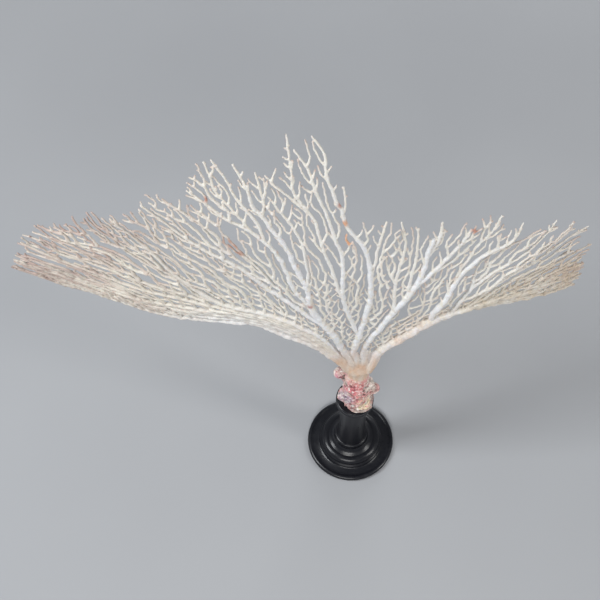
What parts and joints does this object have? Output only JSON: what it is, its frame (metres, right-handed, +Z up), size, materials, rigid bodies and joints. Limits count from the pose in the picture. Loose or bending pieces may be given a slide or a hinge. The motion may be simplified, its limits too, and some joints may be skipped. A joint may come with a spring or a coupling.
{
  "type": "sea fan on stand",
  "caption": "Dried white sea fan with two swept wings of fine branches, growing from a pink crusted rock on a black turned display stand.",
  "frame": {"origin": "centre of the stand foot's flat underside, on the floor", "axes": "+X to the viewer's right along the fan's width, +Y away from the fan's front, +Z up along the stand's column"},
  "size_m": [0.5593, 0.1529, 0.5341],
  "materials": {
    "black_wood": "black satin lacquer",
    "encrusted_rock": "rough, crusted with pink and white growth",
    "dried_fan": "matt, chalky ivory"
  },
  "bodies": {
    "root": {"stand_foot": "black_wood", "stand_stem": "black_wood", "holdfast_rock": "encrusted_rock", "fan_base": "dried_fan", "branch_left_low": "dried_fan", "branch_left_upper": "dried_fan", "branch_left_main": "dried_fan", "branch_centre_left": "dried_fan", "branch_centre": "dried_fan", "branch_right_main": "dried_fan", "branch_right_upper": "dried_fan", "branch_right_low": "dried_fan"}
  },
  "joints": []
}
